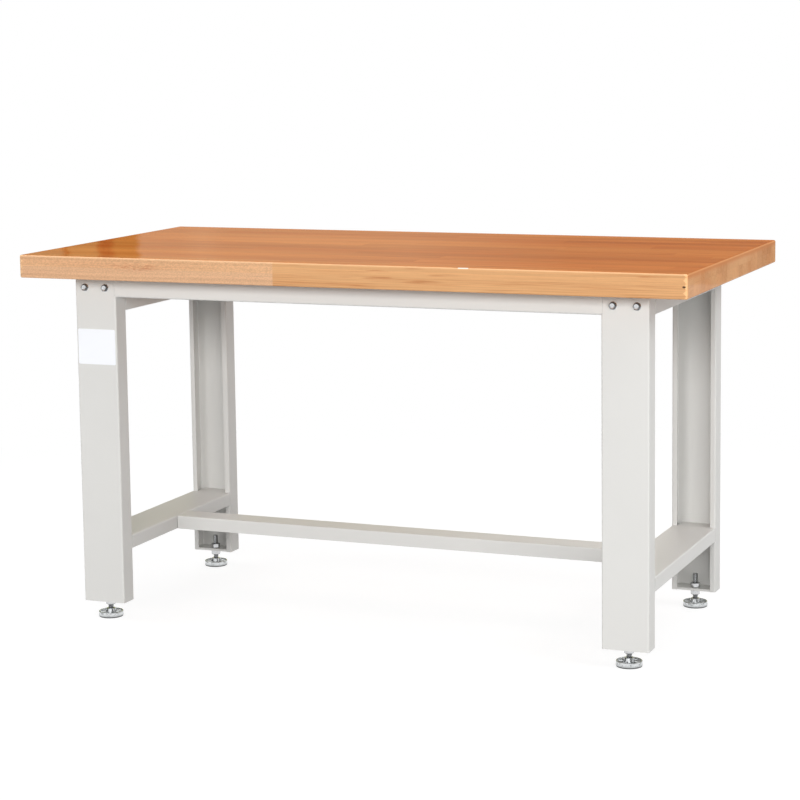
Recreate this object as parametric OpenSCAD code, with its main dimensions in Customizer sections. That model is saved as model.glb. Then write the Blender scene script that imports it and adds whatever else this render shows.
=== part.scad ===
// Heavy duty workbench: a solid wood top on a folded sheet steel frame with four levelling feet.
// The origin is on the floor under the middle of the top, +Z is up and the front looks along -Y.

/* [Worktop] */
// Width of the worktop
top_w = 1500; // [1000:10:2500]
// Depth of the worktop
top_d = 750; // [620:10:1000]
// Thickness of the worktop
top_t = 50; // [42:1:80]
// Radius worked on the edges of the worktop
top_edge_r = 4; // [1:0.5:8]

/* [Stance] */
// Height of the work surface above the floor
bench_h = 818; // [650:1:1000]
// How far the worktop stands out past the legs at each side
side_overhang = 97; // [20:1:180]
// How far the worktop stands out past the front legs
front_overhang = 71.5; // [10:0.5:120]
// How far the worktop stands out past the rear legs
rear_overhang = 104.5; // [10:0.5:150]
// Height of the underside of the legs above the floor
leg_clear = 38; // [35:0.5:43]

/* [Sheet steel] */
// Thickness of the folded sheet of legs and rails
sheet_t = 2; // [1.5:0.1:2.5]
// Inside radius of every fold
bend_in = 1.5; // [1:0.1:2.5]
// Seam left between pieces that are bolted or slid together
seam = 0.3; // [0.2:0.05:0.5]
// Clearance around a plate that is set into a leg
plate_fit = 0.1; // [0.05:0.05:0.3]

/* [Legs] */
// Width of a leg seen from the front
leg_w = 100; // [90:1:130]
// Depth of a leg
leg_d = 45; // [44:1:60]
// Width of the lips folded in at a leg's open side
leg_lip = 12; // [8:0.5:18]
// Thickness of the plate that closes the bottom of a leg
plate_t = 5; // [4:0.5:6]

/* [Rails] */
// Height of the upper front and rear rails
rail_h = 45; // [42:1:60]
// Depth of the flanges of the upper front and rear rails
rail_flange = 30; // [24:1:40]
// Height of the inner flange of an upper side rail
side_rail_drop = 78; // [62:1:110]
// Height of the lower edge of the lower side rails above the floor
low_rail_z = 155; // [90:1:400]
// Height of the lower side rails and of the stretcher
low_rail_h = 30; // [28:1:50]
// Width of the stretcher seen from above
stretcher_w = 63; // [58:1:100]
// Gap between the end of the stretcher's flanges and the side rail
stretcher_end_gap = 2.5; // [1:0.5:4]

/* [Frame bolts] */
// Thread diameter of the frame bolts
bolt_d = 8; // [6:0.5:8.5]
// Width across the flats of the frame bolts and nuts
bolt_af = 13; // [12:0.5:14]
// Height of the hexagon of the frame bolts and nuts
bolt_head_h = 5.6; // [4:0.2:7]
// Diameter of the flange under the heads and nuts
bolt_flange_d = 17; // [15:0.5:18]
// Thickness of that flange
bolt_flange_t = 1.6; // [1:0.1:2.5]
// Length of a frame bolt under its head
bolt_l = 16; // [14:1:20]
// Clearance of a bolt hole, on the diameter
bolt_hole_gap = 1; // [0.5:0.1:1.5]
// Distance between the two bolts in a leg
rail_bolt_pitch = 50; // [40:1:56]
// Distance of those bolts below the underside of the worktop
rail_bolt_drop = 25; // [16:1:28]
// Distance between the two bolts at an end of the stretcher
stretcher_bolt_pitch = 30; // [22:1:34]

/* [Worktop screws] */
// Diameter of a worktop screw
screw_d = 6; // [4:0.5:8]
// Length of a worktop screw under its head
screw_l = 38; // [25:1:40]
// Diameter of the head of a worktop screw
screw_head_d = 11.5; // [10:0.5:14]
// Height of the head of a worktop screw
screw_head_h = 4; // [2.5:0.5:6]
// Outer diameter of the washers under the heads
washer_d = 18; // [15:0.5:20]
// Thickness of those washers
washer_t = 1.6; // [1:0.1:2]
// Distance from a side rail's ends to its outer screws
side_screw_inset = 72; // [30:1:100]
// Distance from the front and rear rails' ends to their outer screws
rail_screw_inset = 203; // [60:1:250]

/* [Levelling feet] */
// Distance from a leg's closed face to the axis of its foot
foot_in = 28; // [18:0.5:30]
// Thread diameter of a stud
stud_d = 12; // [11:0.5:13]
// Height of the top of a stud above the centre of its ball
stud_l = 63; // [60:1:90]
// Diameter of the neck above the ball
neck_d = 9; // [7:0.5:9]
// Height of the neck above the centre of the ball
neck_l = 12; // [10:0.5:14]
// Diameter of the ball
ball_d = 14; // [13.5:0.1:14.5]
// Height of the centre of the ball above the floor
ball_z = 12; // [11.5:0.1:12.5]
// Wall of the cup around the ball
cup_t = 1.5; // [1.2:0.1:1.8]
// Height of the cup's rim above the centre of the ball
cup_rim = 4.5; // [3.5:0.1:4.5]
// Running clearance between parts that turn on each other
run_gap = 0.05; // [0.02:0.01:0.1]
// Gap between a nut and the plate that it turns against
nut_gap = 0.3; // [0.2:0.05:0.5]
// Width across the flats of the foot nuts
nut_af = 19; // [17:0.5:20]
// Height of the foot nuts
nut_h = 10.4; // [8:0.2:10.6]
// Clearance of the stud in the leg's plate, on the diameter
plate_hole_gap = 1; // [0.5:0.1:2]
// Diameter of a pad
pad_d = 55; // [48:1:70]
// Height of the rim of a pad above the floor
pad_h = 12; // [10:0.5:14]
// Height of the hub of a pad above the floor
hub_h = 18; // [16.5:0.5:18.5]
// Diameter of the hub at its top
hub_top_d = 20; // [18.5:0.5:22]
// Diameter of the hub at its foot
hub_foot_d = 26; // [24:0.5:28]
// Thickness of the pad's rim
rim_t = 3.2; // [2:0.2:5]
// Height of the pocket floor between the ribs
pocket_z = 6; // [5:0.5:8]
// Number of ribs on a pad
rib_n = 12; // [6:1:16]
// Thickness of a rib
rib_t = 2.2; // [1.5:0.1:3]
// Thickness of the non-slip sole under a pad
sole_t = 1.5; // [1:0.1:2.5]
// How far the sole stays inside the pad's edge
sole_inset = 0.8; // [0.4:0.1:2]

/* [Blank label] */
// Width of the blank label on the front left leg
label_w = 92; // [60:1:94]
// Height of the label
label_h = 78; // [40:1:120]
// Distance of the label's upper edge below the underside of the worktop
label_drop = 117; // [45:1:300]
// Thickness of the label
label_t = 0.5; // [0.3:0.1:1]
// Radius of the label's corners
label_r = 3; // [1:0.5:8]

/* [Hidden] */
$fn = 64;

// Colours
frame_grey = [0.86, 0.86, 0.84];
beech = [0.83, 0.58, 0.38];
zinc = [0.78, 0.79, 0.80];
pad_grey = [0.84, 0.86, 0.88];
sole_black = [0.12, 0.12, 0.12];
label_white = [0.96, 0.97, 0.99];

// The four corners, as the signs of X and Y
front_left = [-1, -1];
front_right = [1, -1];
rear_left = [-1, 1];
rear_right = [1, 1];

// Places that follow from the sizes
under_top = bench_h - top_t;
leg_h = under_top - leg_clear;
leg_x = top_w / 2 - side_overhang - leg_w / 2;
leg_in_x = leg_x - leg_w / 2;
front_y = -top_d / 2 + front_overhang;
rear_y = top_d / 2 - rear_overhang;
side_y0 = front_y + leg_d;
side_y1 = rear_y - leg_d;
side_mid_y = (side_y0 + side_y1) / 2;
bend_out = bend_in + sheet_t;
rail_z = under_top - rail_h;
bolt_z = under_top - rail_bolt_drop;
low_rail_top = low_rail_z + low_rail_h;
low_bolt_z = low_rail_z + low_rail_h / 2;
side_screw_pitch = (side_y1 - side_y0) / 2 - side_screw_inset;
rail_screw_pitch = leg_in_x - rail_screw_inset;
rail_screw_y = (rail_flange + bend_out) / 2;

// How far a cutting shape runs past the face that it cuts
through = 1;

// A point on the closed face of a corner's leg
function closed_y(c) = c[1] < 0 ? front_y : rear_y;

// Screw places on the underside of the worktop
side_screws = [for (s = [-1, 1], k = [-1, 0, 1]) [s * leg_x, side_mid_y + k * side_screw_pitch]];
front_screws = [for (k = [-1, 0, 1]) [k * rail_screw_pitch, front_y + rail_screw_y]];
rear_screws = [for (k = [-1, 0, 1]) [k * rail_screw_pitch, rear_y - rail_screw_y]];
all_screws = concat(side_screws, front_screws, rear_screws);

// Leg frame: x = 0 in the middle of the leg and inner side at -x, y = 0 on the closed face and +y inwards
module at_leg(c)
    translate([c[0] * leg_x, closed_y(c), 0])
        mirror([c[0] < 0 ? 1 : 0, 0, 0])
            mirror([0, c[1] > 0 ? 1 : 0, 0])
                children();

// Foot frame: the axis of a corner's foot, z = 0 on the floor
module at_foot(c)
    at_leg(c)
        translate([0, foot_in, 0])
            children();

// Rectangle with round corners, its lower left corner at the origin
module round_rect(w, h, r) {
    for (x = [r, w - r], y = [r, h - r])
        translate([x, y])
            circle(r);
    translate([r, 0])
        square([w - 2 * r, h]);
    translate([0, r])
        square([w, h - 2 * r]);
}

// Section folded all the way round
module folded_tube(w, h)
    difference() {
        round_rect(w, h, bend_out);
        translate([sheet_t, sheet_t])
            round_rect(w - 2 * sheet_t, h - 2 * sheet_t, bend_in);
    }

// Leg section: closed face at y = 0 and two lips at y = leg_d
module lipped_section()
    difference() {
        folded_tube(leg_w, leg_d);
        translate([leg_lip, leg_d - bend_out])
            square([leg_w - 2 * leg_lip, bend_out + through]);
    }

// Channel section: web at y = 0 and two flanges of height h, open at the top
module channel_section(w, h)
    difference() {
        folded_tube(w, h + 2 * bend_out);
        translate([-through, h])
            square([w + 2 * through, 2 * bend_out + through]);
    }

// Channel that lies on its open side, its web at the top at y = 0
module hood_section(w, h)
    mirror([0, 1])
        channel_section(w, h);

// Sheet folded down at a right angle: top face at y = 0, outer upright face at x = 0
module folded_corner(reach, drop) {
    translate([-reach, -sheet_t])
        square([reach - bend_out, sheet_t]);
    translate([-sheet_t, -drop])
        square([sheet_t, drop - bend_out]);
    translate([-bend_out, -bend_out])
        intersection() {
            difference() {
                circle(bend_out);
                circle(bend_in);
            }
            square(bend_out);
        }
}

// Hexagon prism with its corners chamfered at the top, or at both ends
module hex_body(af, h, both) {
    corner_r = af / sqrt(3);
    cone_r = corner_r + through;
    cone_h = (cone_r - af / 2) / 2;
    intersection() {
        cylinder(r = corner_r, h = h, $fn = 6);
        rotate_extrude()
            polygon(concat(
                both ? [[0, 0], [af / 2, 0], [cone_r, cone_h]] : [[0, 0], [cone_r, 0]],
                [[cone_r, h - cone_h], [af / 2, h], [0, h]]
            ));
    }
}

// Flanged bolt, the seat of its head at z = 0 and its shank downwards
module flange_bolt() {
    cylinder(d = bolt_flange_d, h = bolt_flange_t);
    translate([0, 0, bolt_flange_t])
        hex_body(bolt_af, bolt_head_h, false);
    translate([0, 0, -bolt_l])
        cylinder(d = bolt_d, h = bolt_l);
}

// Flanged nut, its seat at z = 0
module flange_nut()
    difference() {
        union() {
            cylinder(d = bolt_flange_d, h = bolt_flange_t);
            translate([0, 0, bolt_flange_t])
                hex_body(bolt_af, bolt_head_h, false);
        }
        translate([0, 0, -through])
            cylinder(d = bolt_d + 2 * run_gap, h = bolt_flange_t + bolt_head_h + 2 * through);
    }

// The two bolt axes of a leg, pointing out of the closed face
module at_rail_bolts(c)
    for (k = [-1, 1])
        at_leg(c)
            translate([k * rail_bolt_pitch / 2, 0, bolt_z])
                rotate([90, 0, 0])
                    children();

// The two bolt axes at each end of the stretcher, pointing to the middle of the bench
module at_stretcher_bolts()
    for (s = [-1, 1], k = [-1, 1])
        translate([s * leg_in_x, side_mid_y + k * stretcher_bolt_pitch / 2, low_bolt_z])
            rotate([0, -s * 90, 0])
                children();

// Wood

module worktop()
    color(beech)
        difference() {
            translate([-top_w / 2, -top_d / 2, under_top])
                intersection() {
                    linear_extrude(top_t)
                        round_rect(top_w, top_d, top_edge_r);
                    translate([0, top_d, 0])
                        rotate([90, 0, 0])
                            linear_extrude(top_d)
                                round_rect(top_w, top_t, top_edge_r);
                    rotate([90, 0, 90])
                        linear_extrude(top_w)
                            round_rect(top_d, top_t, top_edge_r);
                }
            for (p = all_screws)
                translate([p[0], p[1], under_top - through])
                    cylinder(d = screw_d + 2 * run_gap, h = screw_l - sheet_t - washer_t + 2 * through);
        }

// Legs

// The inner side is cut away at the top, where the upper rail's tab slides in
module leg(c)
    color(frame_grey)
        at_leg(c)
            difference() {
                translate([-leg_w / 2, 0, leg_clear])
                    linear_extrude(leg_h)
                        lipped_section();
                translate([-leg_w / 2 - through, -through, rail_z + bend_out - seam])
                    cube([bend_out + through, through + 2 * sheet_t + seam, rail_h]);
                for (k = [-1, 1])
                    translate([k * rail_bolt_pitch / 2, -through, bolt_z])
                        rotate([-90, 0, 0])
                            cylinder(d = bolt_d + bolt_hole_gap, h = sheet_t + 2 * through);
            }

module foot_plate(c) {
    edge = sheet_t + plate_fit;
    color(frame_grey)
        at_leg(c)
            translate([0, 0, leg_clear])
                difference() {
                    translate([edge - leg_w / 2, edge, 0])
                        linear_extrude(plate_t)
                            round_rect(leg_w - 2 * edge, leg_d - 2 * edge, bend_in);
                    translate([0, foot_in, -through])
                        cylinder(d = stud_d + plate_hole_gap, h = plate_t + 2 * through);
                }
}

// Upper rails

// Front or rear rail: a channel between the legs, with a tab at each end behind the leg's closed face
module upper_rail(side) {
    tab_z = rail_z + bend_out;
    tab_h = rail_h - 2 * bend_out;
    tab_l = leg_w - 2 * bend_out;
    tab_root = 3 * sheet_t;
    color(frame_grey)
        translate([0, side < 0 ? front_y : rear_y, 0])
            mirror([0, side > 0 ? 1 : 0, 0])
                difference() {
                    union() {
                        translate([leg_in_x - seam, 0, rail_z])
                            rotate([0, -90, 0])
                                linear_extrude(2 * (leg_in_x - seam))
                                    channel_section(rail_h, rail_flange);
                        for (s = [-1, 1])
                            mirror([s < 0 ? 1 : 0, 0, 0]) {
                                translate([leg_in_x - tab_root, 0, tab_z])
                                    cube([tab_root + bend_out - seam, sheet_t, tab_h]);
                                translate([leg_in_x - tab_root, sheet_t, tab_z])
                                    cube([tab_root + tab_l, sheet_t, tab_h]);
                            }
                    }
                    for (s = [-1, 1], k = [-1, 1])
                        translate([s * leg_x + k * rail_bolt_pitch / 2, -through, bolt_z])
                            rotate([-90, 0, 0])
                                cylinder(d = bolt_d + bolt_hole_gap, h = 2 * sheet_t + 2 * through);
                    for (k = [-1, 0, 1])
                        translate([k * rail_screw_pitch, rail_screw_y, under_top - sheet_t - through])
                            cylinder(d = screw_d + bolt_hole_gap, h = sheet_t + 2 * through);
                }
}

// Side rail under the worktop: the outer flange lines up with the front rail, the inner one is deeper
module upper_side_rail(side) {
    tongue_l = leg_d - 2 * sheet_t - seam;
    tongue_w = leg_w - 2 * (leg_lip + seam);
    color(frame_grey)
        mirror([side < 0 ? 1 : 0, 0, 0])
            difference() {
                union() {
                    translate([leg_in_x, side_y1, under_top])
                        rotate([90, 0, 0])
                            linear_extrude(side_y1 - side_y0)
                                difference() {
                                    hood_section(leg_w, side_rail_drop);
                                    translate([leg_w - bend_out, -side_rail_drop - through])
                                        square([bend_out + through, side_rail_drop + through - rail_h]);
                                }
                    translate([leg_x - tongue_w / 2, side_y0 - tongue_l, under_top - sheet_t])
                        cube([tongue_w, side_y1 - side_y0 + 2 * tongue_l, sheet_t]);
                }
                for (k = [-1, 0, 1])
                    translate([leg_x, side_mid_y + k * side_screw_pitch, under_top - sheet_t - through])
                        cylinder(d = screw_d + bolt_hole_gap, h = sheet_t + 2 * through);
            }
}

// Lower rails

// Side rail near the floor: its web passes between the lips and meets the closed faces of both legs
module lower_side_rail(side) {
    tongue_l = leg_d - sheet_t;
    tongue_w = leg_w - 2 * (leg_lip + seam);
    color(frame_grey)
        mirror([side < 0 ? 1 : 0, 0, 0])
            difference() {
                union() {
                    translate([leg_in_x, side_y1, low_rail_top])
                        rotate([90, 0, 0])
                            linear_extrude(side_y1 - side_y0)
                                hood_section(leg_w, low_rail_h);
                    translate([leg_x - tongue_w / 2, side_y0 - tongue_l, low_rail_top - sheet_t])
                        cube([tongue_w, side_y1 - side_y0 + 2 * tongue_l, sheet_t]);
                }
                for (k = [-1, 1])
                    translate([leg_in_x - through, side_mid_y + k * stretcher_bolt_pitch / 2, low_bolt_z])
                        rotate([0, 90, 0])
                            cylinder(d = bolt_d + bolt_hole_gap, h = sheet_t + 2 * through);
            }
}

// Stretcher between the lower side rails, with an end tab folded down from its web
module lower_stretcher() {
    body_l = 2 * (leg_in_x - stretcher_end_gap);
    tab_w = stretcher_w - 2 * (bend_out + seam);
    tab_reach = 4 * bend_out;
    color(frame_grey)
        difference() {
            union() {
                translate([-body_l / 2, side_mid_y - stretcher_w / 2, low_rail_top])
                    rotate([90, 0, 90])
                        linear_extrude(body_l)
                            hood_section(stretcher_w, low_rail_h);
                for (s = [-1, 1])
                    mirror([s < 0 ? 1 : 0, 0, 0])
                        translate([leg_in_x, side_mid_y + tab_w / 2, low_rail_top])
                            rotate([90, 0, 0])
                                linear_extrude(tab_w)
                                    folded_corner(tab_reach, low_rail_h - sheet_t);
            }
            at_stretcher_bolts()
                translate([0, 0, -through])
                    cylinder(d = bolt_d + bolt_hole_gap, h = sheet_t + 2 * through);
        }
}

// Fasteners

module rail_bolts(pair)
    color(zinc)
        for (c = pair)
            at_rail_bolts(c)
                flange_bolt();

module rail_nuts(pair)
    color(zinc)
        for (c = pair)
            at_rail_bolts(c)
                translate([0, 0, -2 * sheet_t])
                    mirror([0, 0, 1])
                        flange_nut();

module stretcher_bolts()
    color(zinc)
        at_stretcher_bolts()
            translate([0, 0, sheet_t])
                flange_bolt();

module stretcher_nuts()
    color(zinc)
        at_stretcher_bolts()
            translate([0, 0, -sheet_t])
                mirror([0, 0, 1])
                    flange_nut();

module worktop_screws()
    color(zinc)
        for (p = all_screws)
            translate([p[0], p[1], under_top - sheet_t - washer_t]) {
                cylinder(d = screw_d, h = screw_l);
                translate([0, 0, -screw_head_h])
                    cylinder(d = screw_head_d, h = screw_head_h);
            }

module worktop_washers()
    color(zinc)
        for (p = all_screws)
            translate([p[0], p[1], under_top - sheet_t - washer_t])
                difference() {
                    cylinder(d = washer_d, h = washer_t);
                    translate([0, 0, -through])
                        cylinder(d = screw_d + 2 * run_gap, h = washer_t + 2 * through);
                }

module blank_label()
    color(label_white)
        at_leg(front_left)
            translate([-label_w / 2, 0, under_top - label_drop - label_h])
                rotate([90, 0, 0])
                    linear_extrude(label_t)
                        round_rect(label_w, label_h, label_r);

// Levelling feet

// Threaded stud with a chamfered tip, a plain neck and a ball
module foot_stud(c) {
    chamfer = 1.2;
    color(zinc)
        at_foot(c)
            translate([0, 0, ball_z]) {
                sphere(d = ball_d);
                cylinder(d = neck_d, h = neck_l);
                translate([0, 0, neck_l])
                    cylinder(d = stud_d, h = stud_l - neck_l - chamfer);
                translate([0, 0, stud_l - chamfer])
                    cylinder(d1 = stud_d, d2 = stud_d - 2 * chamfer, h = chamfer);
            }
}

module foot_nut()
    difference() {
        hex_body(nut_af, nut_h, true);
        translate([0, 0, -through])
            cylinder(d = stud_d + 2 * run_gap, h = nut_h + 2 * through);
    }

// The nut under the leg's plate carries the bench
module adjusting_nut(c)
    color(zinc)
        at_foot(c)
            translate([0, 0, leg_clear - nut_gap - nut_h])
                foot_nut();

// The nut above the plate locks the stud
module lock_nut(c)
    color(zinc)
        at_foot(c)
            translate([0, 0, leg_clear + plate_t + nut_gap])
                foot_nut();

// Cup that holds the ball and turns inside the pad's hub
module ball_cup(c)
    color(zinc)
        at_foot(c)
            translate([0, 0, ball_z])
                difference() {
                    sphere(d = ball_d + 2 * (run_gap + cup_t));
                    sphere(d = ball_d + 2 * run_gap);
                    translate([-ball_d, -ball_d, cup_rim])
                        cube([2 * ball_d, 2 * ball_d, ball_d]);
                }

// Round pad: a rim, a hub around the ball cup, and ribs with open pockets between them
module foot_pad(c) {
    edge = 1;
    rib_z = pad_h - edge;
    color(pad_grey)
        at_foot(c)
            difference() {
                union() {
                    rotate_extrude()
                        polygon([
                            [0, sole_t], [pad_d / 2 - edge, sole_t], [pad_d / 2, sole_t + edge],
                            [pad_d / 2, pad_h - edge], [pad_d / 2 - edge, pad_h], [pad_d / 2 - rim_t, pad_h],
                            [pad_d / 2 - rim_t, pocket_z], [hub_foot_d / 2, pocket_z],
                            [hub_top_d / 2, hub_h], [0, hub_h],
                        ]);
                    for (k = [0 : rib_n - 1])
                        rotate([0, 0, 360 * k / rib_n])
                            translate([hub_top_d / 2 - edge, -rib_t / 2, sole_t])
                                cube([(pad_d - hub_top_d - rim_t) / 2, rib_t, rib_z - sole_t]);
                }
                translate([0, 0, ball_z])
                    sphere(d = ball_d + 4 * run_gap + 2 * cup_t);
            }
}

module foot_sole(c)
    color(sole_black)
        at_foot(c)
            cylinder(d = pad_d - 2 * sole_inset, h = sole_t);

worktop();
leg(front_left);  // front_left_leg
leg(front_right);  // front_right_leg
leg(rear_left);  // rear_left_leg
leg(rear_right);  // rear_right_leg
foot_plate(front_left);  // front_left_foot_plate
foot_plate(front_right);  // front_right_foot_plate
foot_plate(rear_left);  // rear_left_foot_plate
foot_plate(rear_right);  // rear_right_foot_plate
upper_rail(-1);  // upper_front_rail
upper_rail(1);  // upper_rear_rail
upper_side_rail(-1);  // upper_left_rail
upper_side_rail(1);  // upper_right_rail
lower_side_rail(-1);  // lower_left_rail
lower_side_rail(1);  // lower_right_rail
lower_stretcher();
rail_bolts([front_left, front_right]);  // front_rail_bolts
rail_nuts([front_left, front_right]);  // front_rail_nuts
rail_bolts([rear_left, rear_right]);  // rear_rail_bolts
rail_nuts([rear_left, rear_right]);  // rear_rail_nuts
stretcher_bolts();
stretcher_nuts();
worktop_screws();
worktop_washers();
blank_label();
foot_stud(front_left);  // front_left_foot_stud
foot_stud(front_right);  // front_right_foot_stud
foot_stud(rear_left);  // rear_left_foot_stud
foot_stud(rear_right);  // rear_right_foot_stud
adjusting_nut(front_left);  // front_left_adjusting_nut
adjusting_nut(front_right);  // front_right_adjusting_nut
adjusting_nut(rear_left);  // rear_left_adjusting_nut
adjusting_nut(rear_right);  // rear_right_adjusting_nut
lock_nut(front_left);  // front_left_lock_nut
lock_nut(front_right);  // front_right_lock_nut
lock_nut(rear_left);  // rear_left_lock_nut
lock_nut(rear_right);  // rear_right_lock_nut
ball_cup(front_left);  // front_left_ball_cup
ball_cup(front_right);  // front_right_ball_cup
ball_cup(rear_left);  // rear_left_ball_cup
ball_cup(rear_right);  // rear_right_ball_cup
foot_pad(front_left);  // front_left_foot_pad
foot_pad(front_right);  // front_right_foot_pad
foot_pad(rear_left);  // rear_left_foot_pad
foot_pad(rear_right);  // rear_right_foot_pad
foot_sole(front_left);  // front_left_foot_sole
foot_sole(front_right);  // front_right_foot_sole
foot_sole(rear_left);  // rear_left_foot_sole
foot_sole(rear_right);  // rear_right_foot_sole
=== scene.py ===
"""Dresses the heavy duty workbench: its finishes, its turned and cast pieces, the stage and the camera."""
import math
from typing import NamedTuple

import bpy
import numpy as np
from bpy.props import FloatProperty, FloatVectorProperty, IntProperty, PointerProperty
from bpy.types import NodeSocket, Operator, Panel, PropertyGroup, Scene
from mathutils import Matrix, Vector


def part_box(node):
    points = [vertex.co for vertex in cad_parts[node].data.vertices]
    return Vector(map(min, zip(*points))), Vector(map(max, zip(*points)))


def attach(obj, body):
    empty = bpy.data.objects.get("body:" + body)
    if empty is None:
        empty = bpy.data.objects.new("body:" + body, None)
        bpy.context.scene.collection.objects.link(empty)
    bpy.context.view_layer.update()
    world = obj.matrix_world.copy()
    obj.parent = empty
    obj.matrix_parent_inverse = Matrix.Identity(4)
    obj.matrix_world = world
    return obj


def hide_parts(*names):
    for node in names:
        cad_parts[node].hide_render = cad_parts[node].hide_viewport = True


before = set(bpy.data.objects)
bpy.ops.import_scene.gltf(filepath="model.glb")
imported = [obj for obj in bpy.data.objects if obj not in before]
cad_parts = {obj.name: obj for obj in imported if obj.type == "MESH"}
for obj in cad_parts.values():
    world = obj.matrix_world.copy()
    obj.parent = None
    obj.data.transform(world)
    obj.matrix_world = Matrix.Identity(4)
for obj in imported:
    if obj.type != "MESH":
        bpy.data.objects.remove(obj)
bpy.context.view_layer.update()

bl_info = {
    "name": "Heavy duty workbench",
    "version": (1, 0, 0),
    "blender": (4, 5, 0),
    "location": "3D View > Sidebar > Workbench",
    "description": "Lacquers the top, coats the frame and makes the bolts, feet and stage of a workbench",
    "category": "Object",
}

TAU = 2 * math.pi
MM = 0.001
CHAMFER_SLOPE = 1.9
CORNERS = ("front_left", "front_right", "rear_left", "rear_right")
SHEET_NODES = [f"{corner}_{kind}" for corner in CORNERS for kind in ("leg", "foot_plate")] + [
    "upper_front_rail", "upper_rear_rail", "upper_left_rail", "upper_right_rail",
    "lower_left_rail", "lower_right_rail", "lower_stretcher"]


# Places read from the frame

def low_corner(node):
    """Lowest corner of a node, in metres."""
    return np.array(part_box(node)[0])


def high_corner(node):
    """Highest corner of a node, in metres."""
    return np.array(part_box(node)[1])


def middle(node):
    """Centre of a node's box, in metres."""
    return (low_corner(node) + high_corner(node)) / 2


def half_width(node):
    """Half of a node's width, which is the radius of a turned piece."""
    return (high_corner(node)[0] - low_corner(node)[0]) / 2


def ball_height(corner):
    """Height of the middle of the ball at the foot of a corner's stud."""
    stud = f"{corner}_foot_stud"
    return low_corner(stud)[2] + half_width(stud)


# Settings that a user would change

def number(name, description, default, **kind):
    """A setting for a number, of a kind that Blender knows."""
    return FloatProperty(name=name, description=description, default=default, **kind)


def length(name, description, default):
    """A setting for a length."""
    return number(name, description, default, unit="LENGTH")


def power(name, description, default):
    """A setting for a lamp's power."""
    return number(name, description, default, subtype="POWER")


def colour(name, description, default):
    """A setting for a colour."""
    return FloatVectorProperty(name=name, description=description, default=default, subtype="COLOR")


class WorktopSettings(PropertyGroup):
    """Staves and lacquer of the worktop."""
    staves: IntProperty(name="Staves", description="Number of staves across the depth", default=17, min=1)
    stave_length: length("Stave length", "Usual length of a stave", 0.62)
    layer_split: length("Layer split", "Height of the glue line between the two layers above the underside", 0.0265)
    pale: colour("Pale wood", "Colour of the palest beech", (0.88, 0.475, 0.215))
    deep: colour("Deep wood", "Colour of the reddest beech", (0.66, 0.265, 0.090))
    amber: colour("Amber", "What the thicker lacquer on the top face does to the wood", (0.88, 0.500, 0.245))
    gloss: number("Gloss", "Share of clear lacquer over the wood", 0.35, subtype="FACTOR", min=0, max=1)


class FrameSettings(PropertyGroup):
    """Coating of the sheet steel."""
    coating: colour("Coating", "Colour of the powder coat", (0.70, 0.694, 0.672))
    grain: length("Grain", "Size of the coating's fine orange peel", 0.0012)


class FastenerSettings(PropertyGroup):
    """Bolts, nuts and studs."""
    zinc: colour("Zinc", "Colour of the bright zinc plating", (0.70, 0.71, 0.72))
    bolt_pitch: length("Bolt pitch", "Rise of the frame bolts' thread in one turn", 0.00125)
    stud_pitch: length("Stud pitch", "Rise of the foot studs' thread in one turn", 0.00175)


class FootSettings(PropertyGroup):
    """Cast pads and their soles."""
    ribs: IntProperty(name="Ribs", description="Number of ribs on a pad", default=12, min=3)
    rib_width: length("Rib width", "Thickness of a rib", 0.0022)
    casting: colour("Casting", "Colour of the plated pads", (0.70, 0.72, 0.73))
    sole: colour("Sole", "Colour of the rubber soles", (0.020, 0.021, 0.022))


class StageSettings(PropertyGroup):
    """Camera and light."""
    focal: number("Focal length", "Focal length in pixels of an 800 pixel frame", 2265.35)
    eye: FloatVectorProperty(
        name="Eye", description="Place of the camera", subtype="TRANSLATION", default=(1.89515, -4.60972, 1.28810))
    yaw: number("Yaw", "Turn to the left", 0.39134, subtype="ANGLE")
    pitch: number("Pitch", "Tilt downwards", 0.12611, subtype="ANGLE")
    roll: number("Roll", "Turn about the line of sight", -0.01307, subtype="ANGLE")
    centre_row: number("Centre row", "Row of the 800 pixel frame that the lens axis meets", 320.0)
    sky: number("Sky", "Strength of the light from all around", 0.30)
    front: power("Front", "Power of the wide light in front", 610.0)
    corner: power("Corner", "Power of the light at the front right", 215.0)
    side: power("Side", "Power of the light at the right", 100.0)
    overhead: power("Overhead", "Power of each of the two lights above", 34.0)
    back: power("Back", "Power of the light behind", 430.0)


# Mesh helpers

class Solid(NamedTuple):
    """A closed solid: its points, its faces in blocks of equal size, and how much painted shade it has at each
    point.
    """
    points: np.ndarray
    faces: list
    painted_shade: np.ndarray


def softened(corners, steps=4):
    """A profile of (across, up, fillet) corners: straight lines joined by arcs of each corner's fillet radius."""
    points = []
    for k, (across, up, fillet) in enumerate(corners):
        corner = np.array((across, up), float)
        if fillet == 0 or k in (0, len(corners) - 1):
            points.append(corner)
            continue
        back = np.array(corners[k - 1][:2], float) - corner
        ahead = np.array(corners[k + 1][:2], float) - corner
        back /= np.linalg.norm(back)
        ahead /= np.linalg.norm(ahead)
        half = math.acos(float(np.clip(back @ ahead, -1, 1))) / 2
        centre = corner + (back + ahead) / np.linalg.norm(back + ahead) * fillet / math.sin(half)
        start = corner + back * fillet / math.tan(half) - centre
        end = corner + ahead * fillet / math.tan(half) - centre
        turn = math.atan2(start[0] * end[1] - start[1] * end[0], start @ end)
        for t in np.linspace(0, turn, steps + 1):
            c, s = math.cos(t), math.sin(t)
            points.append(centre + (c * start[0] - s * start[1], s * start[0] + c * start[1]))
    return np.array(points)


def resampled(profile, spacing):
    """The same profile with straight stretches divided so that no step is longer than the spacing."""
    out = [profile[:1]]
    for a, b in zip(profile[:-1], profile[1:]):
        count = max(1, math.ceil(np.linalg.norm(b - a) / spacing))
        out.append(a + (b - a) * (np.arange(1, count + 1) / count)[:, None])
    return np.concatenate(out)


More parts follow.
